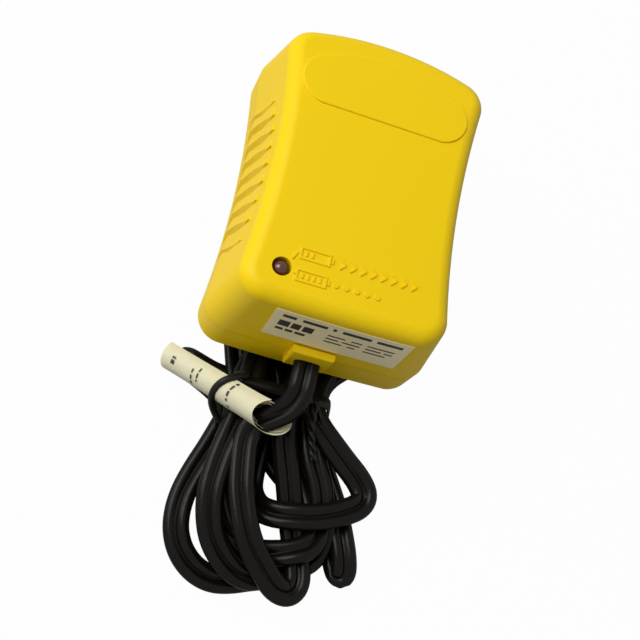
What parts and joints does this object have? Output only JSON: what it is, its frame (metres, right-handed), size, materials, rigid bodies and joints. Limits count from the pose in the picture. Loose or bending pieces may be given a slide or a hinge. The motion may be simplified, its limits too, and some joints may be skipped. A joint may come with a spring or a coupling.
{
  "type": "plug-in battery charger",
  "caption": "Wall plug-in battery charger with moulded louvred case, wall blades, status lamp and a tied hank of flat output cord.",
  "frame": {"origin": "on the surface it stands on, under the centre of the case, at the height of the blade tips", "axes": "+Z out of the front face, +Y along the case away from the cord end, X across the case"},
  "size_m": [0.0701, 0.1569, 0.0604],
  "materials": {
    "case_plastic": "fine moulded grain, yellow",
    "screw_steel": "zinc plated",
    "label_film": "printed film, satin",
    "blade_brass": "nickel-pale brass",
    "black_plastic": "moulded black",
    "relay_case": "blue moulded case",
    "chip_resin": "moulded resin",
    "resistor_coat": "lacquered",
    "can_sleeve": "shrunk sleeve",
    "core_steel": "varnished sheet steel",
    "bobbin_nylon": "moulded nylon",
    "copper_wire": "enamelled copper",
    "coil_tape": "polyester tape",
    "tinned_wire": "tinned",
    "board_laminate": "solder-resist green",
    "lamp_lens": "tinted clear lens",
    "sink_aluminium": "plain",
    "wire_jacket": "wire insulation",
    "cord_jacket": "flexible black jacket",
    "plug_vinyl": "moulded vinyl",
    "contact_nickel": "nickel plated",
    "tie_strip": "coated wire tie",
    "leaflet_paper": "thin printed paper"
  },
  "bodies": {
    "root": {"front_shell": "case_plastic", "rear_cover": "case_plastic", "cord_grommet": "case_plastic", "cover_screws": "screw_steel", "board_screws": "screw_steel", "rating_label": "label_film", "plug_blades": "blade_brass", "blade_carrier": "black_plastic", "relay": "relay_case", "control_chip": "chip_resin", "power_transistor": "chip_resin", "rectifier_diodes": "chip_resin", "resistors": "resistor_coat", "filter_capacitor": "can_sleeve", "core_laminations": "core_steel", "coil_bobbin": "bobbin_nylon", "led_spacer": "bobbin_nylon", "primary_winding": "copper_wire", "secondary_winding": "copper_wire", "winding_tape": "coil_tape", "bobbin_pins": "tinned_wire", "led_legs": "tinned_wire", "thermal_fuse": "tinned_wire", "circuit_board": "board_laminate", "status_led": "lamp_lens", "heat_sink": "sink_aluminium", "primary_leads": "wire_jacket", "secondary_leads": "wire_jacket", "cord_conductors": "wire_jacket", "cord_inner": "cord_jacket", "cord_lead": "cord_jacket", "cord_hank": "cord_jacket", "cord_tail": "cord_jacket", "output_plug_relief": "plug_vinyl", "output_plug_body": "plug_vinyl", "output_plug_contact": "contact_nickel", "hank_tie": "tie_strip", "leaflet_band": "tie_strip", "leaflet_roll": "leaflet_paper"}
  },
  "joints": []
}
